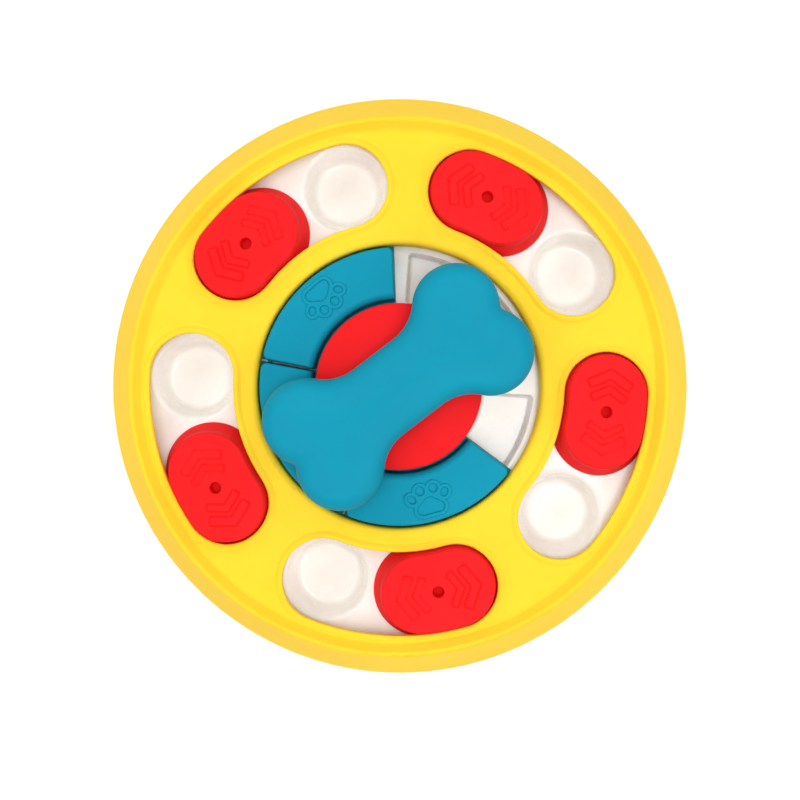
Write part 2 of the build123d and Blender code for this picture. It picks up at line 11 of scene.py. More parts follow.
import bmesh
import bpy
import numpy as np
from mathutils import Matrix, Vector
from mathutils.geometry import convex_hull_2d, delaunay_2d_cdt


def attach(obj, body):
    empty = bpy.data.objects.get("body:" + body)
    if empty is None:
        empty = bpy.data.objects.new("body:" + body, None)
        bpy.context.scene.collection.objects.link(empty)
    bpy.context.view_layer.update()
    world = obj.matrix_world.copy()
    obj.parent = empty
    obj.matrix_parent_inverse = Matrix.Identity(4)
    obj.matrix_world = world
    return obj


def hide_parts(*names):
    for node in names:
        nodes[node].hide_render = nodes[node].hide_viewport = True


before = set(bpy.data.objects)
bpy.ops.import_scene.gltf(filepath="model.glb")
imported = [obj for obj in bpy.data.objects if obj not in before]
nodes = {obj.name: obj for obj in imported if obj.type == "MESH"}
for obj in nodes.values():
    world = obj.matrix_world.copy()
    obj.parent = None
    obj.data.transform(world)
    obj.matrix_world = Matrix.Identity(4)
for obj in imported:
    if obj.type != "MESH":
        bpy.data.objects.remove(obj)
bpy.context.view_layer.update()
MM = 0.001
print("nodes in the frame:", len(nodes))

# %% [markdown]
# ## Shader maths as plain expressions
# A node material is easier to read as a sum than as a list of links. `Wire` stands for one output
# socket, and its operators add Math nodes, so `0.4 + 0.1 * grain` builds the nodes for that sum.
# `Finish` is one material on a Principled shader; its `node` method adds any other kind of node.

# %% Two small classes for building materials
class Wire:
    """One output socket of a material. Arithmetic on it adds Math nodes."""

    def __init__(self, finish, socket):
        self.finish = finish
        self.socket = socket

    def calculate(self, operation, *terms):
        """A Math node over the given terms"""
        return self.finish.node("ShaderNodeMath", {"operation": operation}, dict(enumerate(terms)))

    def __add__(self, other):
        return self.calculate("ADD", self, other)

    def __mul__(self, other):
        return self.calculate("MULTIPLY", self, other)

    def __sub__(self, other):
        return self.calculate("SUBTRACT", self, other)

    def __rsub__(self, other):
        return self.calculate("SUBTRACT", other, self)

    __radd__ = __add__
    __rmul__ = __mul__


class Finish:
    """A material of nodes that end in one Principled shader"""

    def __init__(self, name):
        self.material = bpy.data.materials.new(name)
        self.material.use_nodes = True
        self.tree = self.material.node_tree
        self.shader = self.tree.nodes["Principled BSDF"]

    def node(self, kind, settings=None, sockets=None, output=0):
        """Adds a node, makes its settings, then fills its sockets with values or wires"""
        made = self.tree.nodes.new(kind)
        for name, value in (settings or {}).items():
            setattr(made, name, value)
        self.fill(made, sockets or {})
        return Wire(self, made.outputs[output])

    def fill(self, node, sockets):
        """Gives each named or numbered socket its value or its wire"""
        for name, value in sockets.items():
            if isinstance(value, Wire):
                self.tree.links.new(value.socket, node.inputs[name])
            else:
                node.inputs[name].default_value = value

    def shade(self, **sockets):
        """Fills sockets of the Principled shader; an underscore in a name stands for a space"""
        self.fill(self.shader, {name.replace("_", " "): value for name, value in sockets.items()})

    def noise(self, scale, detail=2.0, roughness=0.5):
        """Fractal noise over the piece, in cells of about 1 / scale metres"""
        place = self.node("ShaderNodeTexCoord", output="Object")
        return self.node("ShaderNodeTexNoise", {}, {
            "Vector": place, "Scale": scale, "Detail": detail, "Roughness": roughness,
        })

    def between(self, factor, first, second):
        """A colour that goes from the first to the second as the factor goes from 0 to 1"""
        return self.node("ShaderNodeMix", {"data_type": "RGBA"}, {
            "Factor": factor, "A": first, "B": second,
        }, output=2)

    def relief(self, height, distance):
        """A normal tilted by a height map whose full range is the given distance"""
        return self.node("ShaderNodeBump", {}, {"Height": height, "Distance": distance})


def tint(red, green, blue):
    """A colour given as screen values from 0 to 255, as the linear colour that a shader takes"""
    linear = []
    for value in (red, green, blue):
        share = value / 255
        linear.append(share / 12.92 if share <= 0.04045 else ((share + 0.055) / 1.055) ** 2.4)
    return (*linear, 1.0)

# %% [markdown]
# ## Moulded plastic
# All the large pieces are injection moulded. Such a plastic is never one flat colour: the pigment
# clouds a little where the melt flowed, and the mould's spark-eroded skin leaves a fine satin grain
# that breaks up the highlights. One function makes every colour of it. The grain feeds the roughness
# and a shallow bump, so that the highlight is alive but the form stays smooth.

# %% Plastics
cloud_scale, streak_scale, grain_scale = 28.0, 160.0, 2600.0    # cells in a metre


def moulded_plastic(name, light, deep, gloss, grain_depth, shine, coat=0.0):
    """Satin plastic: `light` and `deep` are its two pigment shades, `gloss` its mean roughness"""
    finish = Finish(name)
    cloud = finish.noise(cloud_scale, detail=3.0)
    streak = finish.noise(streak_scale, detail=2.0, roughness=0.6)
    grain = finish.noise(grain_scale, detail=2.0, roughness=0.55)
    pigment = cloud * 0.7 + streak * 0.3
    colour = finish.node("ShaderNodeMapRange", {}, {
        "Value": pigment, "From Min": 0.35, "From Max": 0.65,
    })
    finish.shade(
        Base_Color=finish.between(colour, deep, light),
        Roughness=gloss + 0.10 * (streak - 0.5) + 0.16 * (grain - 0.5),
        Normal=finish.relief(grain, grain_depth),
        Specular_IOR_Level=shine,
        Coat_Weight=coat,
        Coat_Roughness=0.12,
    )
    return finish.material


yellow_plastic = moulded_plastic(
    "yellow_plastic", tint(255, 215, 56), tint(255, 209, 49),
    gloss=0.52, grain_depth=0.00002, shine=0.05)
white_plastic = moulded_plastic(
    "white_plastic", tint(249, 247, 243), tint(246, 243, 238),
    gloss=0.26, grain_depth=0.000006, shine=0.5, coat=0.35)
red_plastic = moulded_plastic(
    "red_plastic", tint(246, 35, 38), tint(242, 30, 33),
    gloss=0.55, grain_depth=0.00002, shine=0.06)
teal_plastic = moulded_plastic(
    "teal_plastic", tint(6, 146, 173), tint(5, 141, 168),
    gloss=0.52, grain_depth=0.00002, shine=0.12)
for material in (yellow_plastic, white_plastic, red_plastic, teal_plastic):
    print("made", material.name)

# %% [markdown]
# ## Steel and rubber
# The screws are zinc-plated steel, which has a faint cloudy lustre. The plug-in feet are soft grey
# rubber: pale, rough, and a little dusty.

# %% Screw steel and foot rubber
def screw_steel():
    """Bright zinc with cloudy patches in its shine"""
    finish = Finish("screw_steel")
    patch = finish.noise(900.0, detail=3.0)
    finish.shade(
        Base_Color=finish.between(patch, tint(186, 188, 190), tint(214, 215, 214)),
        Metallic=1.0,
        Roughness=0.24 + 0.2 * patch,
        Normal=finish.relief(patch, 0.00001),
    )
    return finish.material


def foot_rubber():
    """Soft pale rubber with a dry, dusty skin"""
    finish = Finish("foot_rubber")
    dust = finish.noise(420.0, detail=4.0, roughness=0.65)
    grain = finish.noise(3200.0)
    finish.shade(
        Base_Color=finish.between(dust, tint(216, 216, 213), tint(228, 228, 226)),
        Roughness=0.78 + 0.14 * (dust - 0.5),
        Normal=finish.relief(grain, 0.00003),
    )
    return finish.material


steel = screw_steel()
rubber = foot_rubber()

# %% [markdown]
# ## Paint the frame's own nodes
# A node whose shape is already right keeps its mesh and only gets a material. The material goes into
# the object's slots, because the mesh itself is never touched.

# %% Give each node its finish
node_finishes = {
    "top_cover": yellow_plastic, "treat_tray": white_plastic, "slider": red_plastic,
    "hub_dome": red_plastic, "wedge_cover": teal_plastic, "bone_screws": steel, "bone": teal_plastic,
    "case_screws": steel, "pivot": steel, "rubber_foot": rubber,
}
for name, node in nodes.items():
    finish = next(look for start, look in node_finishes.items() if name.startswith(start))
    if not node.material_slots:
        node.data.materials.append(finish)
    for material_slot in node.material_slots:
        material_slot.link = "OBJECT"
        material_slot.material = finish
    print(name, "->", finish.name, len(node.data.vertices), "vertices")

# %% [markdown]
# ## Outlines and closed shells
# Each moulded lid is a thin shell: a wall that follows one outline, a rounding, a nearly flat top and a
# hollow below. So an outline is kept as points with the direction out of it at each, and a shell is
# built from rings of such points at different heights, with triangles over its flat parts.

# %% Outlines as points with a direction outwards
def arc(centre, radius, start, end, count, hollow=False):
    """Points along an arc; a hollow arc curves inwards, so its way out leads to its own centre"""
    turns = np.radians(np.linspace(start, end, count))
    away = np.column_stack((np.cos(turns), np.sin(turns)))
    return np.array(centre) + radius * away, -away if hollow else away


class Outline:
    """A closed curve seen from above, counter-clockwise, in millimetres"""

    def __init__(self, *arcs):
        points = np.vstack([part for part, _ in arcs])
        out = np.vstack([part for _, part in arcs])
        apart = np.linalg.norm(points - np.roll(points, 1, axis=0), axis=1) > 1e-6
        self.points, self.out = points[apart], out[apart]

    def ring(self, grown, height):
        """The curve moved outwards, at a height; both may vary from point to point"""
        count = len(self.points)
        flat = self.points + np.broadcast_to(grown, count)[:, None] * self.out
        return np.column_stack((flat, np.broadcast_to(height, count)))


batch = 1500                           # places that are measured at once, to spare memory


def loop_distance(places, loop):
    """Signed distance of flat places from a closed loop of points, negative inside"""
    following = np.roll(loop, -1, axis=0)
    step = following - loop
    gaps = []
    for some in np.array_split(places, len(places) // batch + 1):
        reach = some[:, None, :] - loop[None, :, :]
        share = np.clip((reach * step).sum(2) / (step ** 2).sum(1), 0, 1)
        away = np.linalg.norm(reach - share[..., None] * step, axis=2).min(1)
        level = some[:, None, 1]
        crosses = (level > loop[:, 1]) != (level > following[:, 1])
        rise = np.where(step[:, 1] == 0, 1, step[:, 1])
        crossing = loop[:, 0] + (level - loop[:, 1]) / rise * step[:, 0]
        inside = (crosses & (some[:, None, 0] < crossing)).sum(1) % 2 == 1
        gaps.append(np.where(inside, -away, away))
    return np.concatenate(gaps)


border_gap = 0.15                      # free places of a flat part stay this far from its border
row_step = 0.866                       # rows of a triangular grid, over the step along a row


def ease(share):
    """A soft step from 0 to 1"""
    share = np.clip(share, 0, 1)
    return share * share * (3 - 2 * share)


def lattice(loop, spacing, margin):
    """Places on a triangular grid inside a loop, no nearer to it than the margin"""
    low, high = loop.min(axis=0), loop.max(axis=0)
    rows = np.arange(low[1], high[1], spacing * row_step)
    columns = np.arange(low[0], high[0], spacing)
    grid = np.array([(x + spacing / 2 * (row % 2), y) for row, y in enumerate(rows) for x in columns])
    return grid[loop_distance(grid, loop) < -margin]


def along_edge(loop, spacing, offsets):
    """Places beside the edge of a loop, at several distances from it"""
    step = np.roll(loop, -1, axis=0) - loop
    length = np.linalg.norm(step, axis=1)
    places = []
    for start, way, size in zip(loop, step, length):
        count = max(1, round(size / spacing))
        side = np.array((way[1], -way[0])) / size
        for number in range(count):
            places.extend(start + way * number / count + side * offset for offset in offsets)
    return np.array(places)


def thinned(places, spacing):
    """Leaves only one place in each small square"""
    _, first = np.unique(np.round(places / spacing).astype(int), axis=0, return_index=True)
    return places[np.sort(first)]

# %% [markdown]
# `Shell` collects the points and faces of one closed mesh. A wall is a strip of quads between rings
# of as many points. A flat part is filled by a Delaunay triangulation, whose free points can be lifted
# by a height function: that is how the raised marks get real geometry.

# %% Shell builder
class Shell:
    """Points and faces of one closed mesh, in millimetres"""

    def __init__(self):
        self.points = []
        self.faces = []

    def ring(self, places):
        """Adds points and gives their numbers"""
        start = len(self.points)
        self.points.extend(map(tuple, places))
        return list(range(start, len(self.points)))

    def loft(self, *rings):
        """Walls from each ring of numbers to the next one"""
        for lower, upper in zip(rings, rings[1:]):
            count = len(lower)
            for here in range(count):
                there = (here + 1) % count
                self.faces.append((lower[here], lower[there], upper[there], upper[here]))

    def fill(self, borders, places=(), height=None):
        """Triangles inside the first border and outside the others, over free places between them"""
        numbers = [number for border in borders for number in border]
        flat = [self.points[number][:2] for number in numbers]
        edges, start = [], 0
        for border in borders:
            count = len(border)
            edges += [(start + here, start + (here + 1) % count) for here in range(count)]
            start += count
        if len(places):
            numbers += self.ring(np.column_stack((places, height(places))))
            flat += [tuple(place) for place in places]
        made = delaunay_2d_cdt([Vector(place) for place in flat], edges, [], 1, 1e-5)
        source = [first[0] for first in made[3]]
        faces = np.array([[source[corner] for corner in face] for face in made[2]])
        flat = np.array(flat)
        middles = flat[faces].mean(axis=1)
        for border in borders[1:]:
            hole = np.array([self.points[number][:2] for number in border])
            outside = loop_distance(middles, hole) > 0
            faces, middles = faces[outside], middles[outside]
        self.faces += [tuple(numbers[corner] for corner in face) for face in faces]

    def tube(self, centre, outer, inner, low, high, count=40):
        """A closed round tube with an upright axis, for a screw boss"""
        rings = []
        for radius, height in ((outer, low), (outer, high), (inner, high), (inner, low)):
            circle, _ = arc(centre, radius, 0, 360, count + 1)
            rings.append(self.ring(np.column_stack((circle[:-1], np.full(count, height)))))
        self.loft(*rings, rings[0])

    def mesh(self, name, crease=35):
        """The finished mesh in metres, smooth but for edges sharper than the crease angle"""
        made = bpy.data.meshes.new(name)
        made.from_pydata([Vector(point) * MM for point in self.points], [], self.faces)
        editing = bmesh.new()
        editing.from_mesh(made)
        loose = [vertex for vertex in editing.verts if not vertex.link_faces]
        bmesh.ops.delete(editing, geom=loose, context="VERTS")
        bmesh.ops.recalc_face_normals(editing, faces=editing.faces)
        open_edges = sum(not edge.is_manifold for edge in editing.edges)
        editing.to_mesh(made)
        editing.free()
        made.shade_smooth()
        made.set_sharp_from_angle(angle=math.radians(crease))
        print(name, len(made.vertices), "vertices,", open_edges, "open edges")
        return made


def rounding(radius, steps):
    """Shares of an edge rounding as pairs: how far in, and how far below the top, over its radius"""
    turns = np.radians(np.linspace(0, 90, steps + 1))
    return [(radius * (1 - math.cos(turn)), radius * (1 - math.sin(turn))) for turn in turns]

# %% [markdown]
# ## The bone
# The bone is a soft-looking hollow moulding: four round lobes, a straight waist, a wide rounding round
# the top and a slight crown. A shallow valley runs in from the notch at each end, where the swellings
# of two lobes meet. Its height is a function of the distance from the outline, so the rounding, the
# crown and the valleys flow into each other without a seam.

# %% Bone
bone_turn = math.radians(37.4)
lobe_along, lobe_across, lobe_radius = 38.2, 11.4, 17.8
waist_half, waist_radius, notch_radius = 16.6, 20.0, 2.5
bone_foot, bone_top_height = 28.4, 46.0
bone_edge, bone_crown, bone_wall = 6.0, 0.5, 2.2
bone_foot_rounding, bone_side_top = 1.2, 34.0
crown_reach = 16.0                     # the crown levels out this far in from the outline
valley_depth, valley_width, valley_length = 0.55, 2.4, 13.0
valley_start = 5.0                     # the valley reaches its full depth this far in
boss_offset, boss_radius, boss_bore, boss_foot = 14.0, 3.8, 1.55, 30.4
boss_sink = 0.3                        # the bosses reach this far into the roof
notch_steps, lobe_steps, waist_steps = 7, 90, 30
bone_step, bone_margin = 0.9, 0.5      # between free places of the top, and from its border
notch_centre = lobe_along + math.sqrt((lobe_radius + notch_radius) ** 2 - lobe_across ** 2)
waist_height = waist_half + waist_radius
waist_centre = lobe_along - math.sqrt(
    (lobe_radius + waist_radius) ** 2 - (waist_height - lobe_across) ** 2)
notch_angle = math.degrees(math.atan2(lobe_across, notch_centre - lobe_along))
waist_angle = math.degrees(math.atan2(waist_height - lobe_across, waist_centre - lobe_along))


def bone_quarter(side_x, side_y):
    """From the notch at one end to the waist, or back, so that the four quarters join"""
    notch, notch_out = arc(
        (notch_centre, 0), notch_radius, 180, 180 - notch_angle, notch_steps, True)
    lobe, lobe_out = arc(
        (lobe_along, lobe_across), lobe_radius, -notch_angle, waist_angle, lobe_steps)
    waist, waist_out = arc(
        (waist_centre, waist_height), waist_radius, waist_angle - 180, -90, waist_steps, True)
    points, out = np.vstack((notch, lobe, waist)), np.vstack((notch_out, lobe_out, waist_out))
    mirror = np.array((side_x, side_y))
    order = slice(None) if side_x == side_y else slice(None, None, -1)
    return (points * mirror)[order], (out * mirror)[order]


bone_outline = Outline(*(bone_quarter(*sides) for sides in ((1, 1), (-1, 1), (-1, -1), (1, -1))))
print("bone outline:", len(bone_outline.points), "points")


def bone_relief(places):
    """How much the crown lifts the bone, less the valley that runs in from each notch"""
    depth = np.clip(-loop_distance(places, bone_outline.points), 0, crown_reach)
    crown = bone_crown * (1 - (1 - depth / crown_reach) ** 2)
    inward = notch_centre - notch_radius - np.abs(places[:, 0])
    valley = valley_depth * np.exp(-(places[:, 1] / valley_width) ** 2)
    return crown - valley * ease(1 - inward / valley_length) * ease(depth / valley_start)


def turned(shell, turn):
    """Turns a shell about the middle of the toy"""
    across, along = math.cos(turn), math.sin(turn)
    shell.points = [(x * across - y * along, x * along + y * across, z) for x, y, z in shell.points]
    return shell


def bone_shell():
    """Outer skin, foot, inner skin and two screw bosses"""
    shell = Shell()
    shoulder = bone_top_height - bone_crown
    outer = [
        bone_outline.ring(-into, bone_foot + rise)
        for into, rise in reversed(rounding(bone_foot_rounding, 4))
    ]
    outer.append(bone_outline.ring(0, bone_side_top))
    for into, below in rounding(bone_edge, 14):
        ring = bone_outline.ring(-into, shoulder - below)
        ring[:, 2] += bone_relief(ring[:, :2]) * (1 - below / bone_edge)
        outer.append(ring)
    outer = [shell.ring(ring) for ring in outer]
    rim = np.array([shell.points[number][:2] for number in outer[-1]])
    shell.loft(*outer)
    free = lattice(rim, bone_step, bone_margin)
    shell.fill([outer[-1]], free, lambda places: shoulder + bone_relief(places))
    roof = bone_top_height - bone_wall - bone_crown
    inner = [bone_outline.ring(-bone_wall, bone_foot)]
    for into, below in rounding(bone_edge - bone_wall, 5):
        inner.append(bone_outline.ring(-bone_wall - into, roof - below))
    inner = [shell.ring(ring) for ring in inner]
    shell.loft(outer[0], *inner)
    shell.fill([inner[-1]])
    for side in (boss_offset, -boss_offset):
        shell.tube((side, 0), boss_radius, boss_bore, boss_foot, roof + boss_sink)
    return turned(shell, bone_turn)


bone_mesh = bone_shell().mesh("bone_skin")

# %% [markdown]
# ## The sector lids
# A sector lid is a shallow box shaped like a piece of a ring. Its edge towards the dome is widely
# rounded, where a tongue or a paw pushes it; its other edges are only broken. Rings with different
# insets on each side make that possible: each ring is worked out afresh from its own radii.

# %% Sector rings
lid_degrees = 76.45
lid_span = math.radians(lid_degrees)
outer_steps, corner_steps, inner_steps = 45, 9, 33     # points along the parts of half a ring


def sector_ring(inner, outer, end_inset, inner_corner, outer_corner, height):
    """Ring of a sector that points along +X, with straight ends and rounded corners"""
    half = lid_span / 2
    along = np.array((math.cos(half), math.sin(half)))
    out = np.array((-along[1], along[0]))

    def corner(radius, from_middle):
        """Centre of a corner rounding and the direction in which it stands"""
        aside = end_inset + radius
        reach = math.sqrt(from_middle ** 2 - aside ** 2)
        centre = reach * along - aside * out
        return centre, math.degrees(math.atan2(centre[1], centre[0]))

    outer_centre, outer_way = corner(outer_corner, outer - outer_corner)
    inner_centre, inner_way = corner(inner_corner, inner + inner_corner)
    end_way = math.degrees(half) + 90
    upper = [
        arc((0, 0), outer, 0, outer_way, outer_steps)[0],
        arc(outer_centre, outer_corner, outer_way, end_way, corner_steps)[0][1:],
        arc(inner_centre, inner_corner, end_way, inner_way + 180, corner_steps)[0],
        arc((0, 0), inner, inner_way, 0, inner_steps)[0][1:],
    ]
    upper = np.vstack(upper)
    lower = (upper * (1, -1))[::-1][1:-1]
    flat = np.vstack((upper, lower))
    return np.column_stack((flat, np.full(len(flat), height)))

# %% [markdown]
# The paw print is a raised line round a triangular pad and four toes. Each outline is a loop of
# points; the height depends only on the distance from the nearest of them.

# %% Paw print
paw_centre = 47.65
paw_line = 1.5
paw_height, pad_depth = 0.55, 0.3
flank = 0.45                           # width of the line's sloping sides
# The pad's three circles: place along the lid's radius, place aside, radius
pad_circles = ((3.2, 0, 3.3), (4.7, 3.6, 2.25), (4.7, -3.6, 2.25))
# The toes: place along the radius, place aside, half length, half width, turn in degrees
toes = (
    (-3.3, 2.85, 1.9, 1.85, 0), (-3.3, -2.85, 1.9, 1.85, 0),
    (-0.55, 7.0, 1.95, 1.5, -40), (-0.55, -7.0, 1.95, 1.5, 40),
)


def ellipse(along, aside, half_length, half_width, turn):
    """A toe: an ellipse in the lid's own frame"""
    ring = np.radians(np.arange(0, 360, 8))
    lean = math.radians(turn)
    x, y = half_length * np.cos(ring), half_width * np.sin(ring)
    return np.column_stack((
        paw_centre + along + x * math.cos(lean) - y * math.sin(lean),
        aside + x * math.sin(lean) + y * math.cos(lean),
    ))


def paw_pad():
    """The hull of three circles: one towards the toes, two side by side behind it"""
    circles = np.vstack([
        arc((paw_centre + along, aside), radius, 0, 356, 90)[0]
        for along, aside, radius in pad_circles
    ])
    return circles[convex_hull_2d([Vector(place) for place in circles])]


paw_loops = [paw_pad()] + [ellipse(*toe) for toe in toes]


def paw_relief(places):
    """Height of the print above the lid: a raised line, slightly sunken pads"""
    gap = np.min([loop_distance(places, loop) for loop in paw_loops], axis=0)
    line = ease(gap / flank + 0.5) * ease((paw_line - gap) / flank + 0.5)
    return paw_height * line - pad_depth * ease(-gap / flank + 0.2)


lid_foot, flange_top, lid_top, lid_wall = 12.3, 14.2, 25.0, 2.0
flange_inner, flange_outer, flange_corners = 32.8, 62.6, (0.2, 0.4)
lid_inner, lid_outer, lid_corners = 36.2, 58.5, (0.9, 2.5)
lid_draft = 0.4
wide_rounding, small_rounding = 3.0, 0.9
hollow_corner = 1.5
mark_step = 0.3                        # between free places along the lines of the paw print
lid_step, lid_margin, lid_closest = 0.8, 0.4, 0.12


def lid_shell():
    """Flange, walls, rounded roof with its paw print, and the hollow below"""
    shell = Shell()
    outer = [
        sector_ring(flange_inner, flange_outer, 0, *flange_corners, lid_foot),
        sector_ring(flange_inner, flange_outer, 0, *flange_corners, flange_top),
        sector_ring(lid_inner, lid_outer, lid_draft / 3, *lid_corners, flange_top),
    ]
    inner_corner, outer_corner = lid_corners
    for (wide_in, wide_below), (into, below) in zip(
            rounding(wide_rounding, 10), rounding(small_rounding, 10)):
        # The roundings differ in depth, so each point's height follows from the side it belongs to
        inner = lid_inner + lid_draft + wide_in
        ring = sector_ring(inner, lid_outer - lid_draft - into, lid_draft + into,
                           inner_corner, outer_corner - into, lid_top)
        radius = np.hypot(ring[:, 0], ring[:, 1])
        nearness = ease((inner + inner_corner - radius) / inner_corner)
        ring[:, 2] = lid_top - below - (wide_below - below) * nearness
        outer.append(ring)
    outer = [shell.ring(ring) for ring in outer]
    shell.loft(*outer)
    rim = np.array([shell.points[number][:2] for number in outer[-1]])
    flank_lines = [-0.4, -0.25, -0.1, 0.05, 0.2]
    flank_lines += [paw_line + offset for offset in (-0.3, -0.15, 0, 0.15, 0.3)]
    marks = np.vstack([along_edge(loop, mark_step, flank_lines) for loop in paw_loops])
    free = thinned(np.vstack((marks, lattice(rim, lid_step, lid_margin))), lid_closest)
    free = free[loop_distance(free, rim) < -border_gap]
    shell.fill([outer[-1]], free, lambda places: lid_top + paw_relief(places))
    inner = [
        sector_ring(lid_inner + lid_wall, lid_outer - lid_wall, lid_wall,
                    hollow_corner, hollow_corner, height)
        for height in (lid_foot, lid_top - lid_wall)
    ]
    inner = [shell.ring(ring) for ring in inner]
    shell.loft(outer[0], *inner)
    shell.fill([inner[-1]])
    return shell


lid_mesh = lid_shell().mesh("sector_lid_skin")

# %% [markdown]
# ## The sliders
# A slider is a hollow kidney-shaped cap that follows the ring of slots. Its wall swells outwards
# below, so that it can't be lifted out of the slot. On top there is a blind dimple in the middle,
# and two chevrons point each way that it slides, with a fine groove round the foot of each.

# %% Slider outline and its marks
slot_ring = 86.5
slider_half_turn = 4.9
slider_half_width = 17.0
slider_top = 29.0
# How far the wall stands outside the cap's outline, at each height: skirt, flare, drafted cap
outer_profile = (
    (2.7, 14.3), (2.92, 14.38), (3.0, 14.6), (3.0, 15.1), (2.9, 15.6), (2.55, 16.6), (1.9, 18.1),
    (1.1, 19.8), (0.45, 21.2), (0.1, 22.0), (-0.15, 23.0), (-0.27, 24.0), (-0.48, 26.0),
)
hollow_profile = (
    (1.2, 14.3), (1.1, 15.6), (0.1, 18.1), (-1.35, 21.2), (-2.1, 24.0), (-2.3, 26.2), (-3.4, 27.2),
)
cap_inset, cap_rounding = 0.7, 1.1
dimple_profile = ((2.7, 0), (2.56, -0.06), (2.5, -0.2), (2.5, -7.7), (2.2, -8.0))
cup_radius, cup_top, cup_foot = 4.3, 27.2, 19.2


def slider_end(way):
    """The round end of the kidney"""
    middle = way * slider_half_turn
    centre = slot_ring * np.array((math.cos(math.radians(middle)), math.sin(math.radians(middle))))
    start = middle if way > 0 else middle + 180
    return arc(centre, slider_half_width, start, start + 180, 70)


slider_outline = Outline(
    slider_end(1),
    arc((0, 0), slot_ring - slider_half_width, slider_half_turn, -slider_half_turn, 14, True),
    slider_end(-1),
    arc((0, 0), slot_ring + slider_half_width, -slider_half_turn, slider_half_turn, 20),
)


def chevron(apex, end, reach, width):
    """One V-shaped band with slightly rounded corners, as a loop that points along the ring"""
    lean = math.atan2(reach, apex - end)
    tip = width / 2 / math.sin(lean)
    along, across = width / 2 * math.sin(lean), width / 2 * math.cos(lean)
    half = np.array((
        (apex + tip, 0), (end + along, reach + across), (end - along, reach - across), (apex - tip, 0)))
    corners = np.vstack((half, (half[2:0:-1] * (1, -1))))
    return np.column_stack((slot_ring - corners[:, 1], corners[:, 0]))


chevron_rounding = 0.35
chevron_height, chevron_flank = 0.6, 0.42
groove_depth, groove_width = 0.4, 0.25 # a fine groove runs round the foot of each chevron
flank_offsets = (-0.22, -0.1, 0.02, 0.14, 0.28, 0.42, 0.56, 0.72)
chevron_step = 0.35                    # between free places along a chevron's sides
slider_step, slider_margin, slider_closest = 1.0, 0.5, 0.1
# The two sizes of chevron: apex, ends, reach aside and width of the band
chevron_sizes = ((15.8, 11.2, 8.1, 3.2), (9.5, 5.7, 6.5, 2.5))
chevrons = [
    chevron(apex, end, reach, width - 2 * chevron_rounding)
    for apex, end, reach, width in chevron_sizes
]
chevrons += [loop * (1, -1) for loop in chevrons]


def chevron_relief(places):
    """Height of the chevrons above the slider's top, less the groove round them"""
    gap = np.min([loop_distance(places, loop) for loop in chevrons], axis=0) - chevron_rounding
    groove = np.exp(-((gap - chevron_flank) / groove_width) ** 2)
    return chevron_height * ease(0.5 - gap / chevron_flank) - groove_depth * groove


def disc_edge(shell, radius, height):
    """A level circle of points in the middle of the slider"""
    circle = arc((slot_ring, 0), radius, 0, 360, 49)[0][:-1]
    return shell.ring(np.column_stack((circle, np.full(len(circle), height))))


def slider_shell():
    """Skirt, drafted wall, rounded top with its marks and dimple, and the hollow below"""
    shell = Shell()
    outer = [slider_outline.ring(grown, height) for grown, height in outer_profile]
    outer += [
        slider_outline.ring(-cap_inset - into, slider_top - below)
        for into, below in rounding(cap_rounding, 7)
    ]
    outer = [shell.ring(ring) for ring in outer]
    shell.loft(*outer)
    rim = np.array([shell.points[number][:2] for number in outer[-1]])
    dimple = [disc_edge(shell, radius, slider_top + height) for radius, height in dimple_profile]
    shell.loft(*dimple)
    shell.fill([dimple[-1]])
    flank_lines = [chevron_rounding + offset for offset in flank_offsets]
    marks = np.vstack([along_edge(loop, chevron_step, flank_lines) for loop in chevrons] + [
        arc(corner, radius, 0, 345, 24)[0]
        for loop in chevrons for corner in loop for radius in flank_lines[1:-1]
    ])
    free = thinned(np.vstack((marks, lattice(rim, slider_step, slider_margin))), slider_closest)
    beside_dimple = np.hypot(free[:, 0] - slot_ring, free[:, 1]) > dimple_profile[0][0] + border_gap
    free = free[(loop_distance(free, rim) < -border_gap) & beside_dimple]
    shell.fill([outer[-1], dimple[0]], free, lambda places: slider_top + chevron_relief(places))
    inner = [slider_outline.ring(grown, height) for grown, height in hollow_profile]
    inner = [shell.ring(ring) for ring in inner]
    shell.loft(outer[0], *inner)
    cup = [disc_edge(shell, cup_radius, height) for height in (cup_top, cup_foot)]
    shell.loft(*cup)
    shell.fill([cup[-1]])
    shell.fill([inner[-1], cup[0]])
    return shell


slider_mesh = slider_shell().mesh("slider_skin")

# %% [markdown]
# ## Copies round the toy
# The three lids and the five sliders are mouldings from one cavity each. A small node group turns a
# moulding about the toy's middle and gives it its material, so every copy comes from the same mesh.

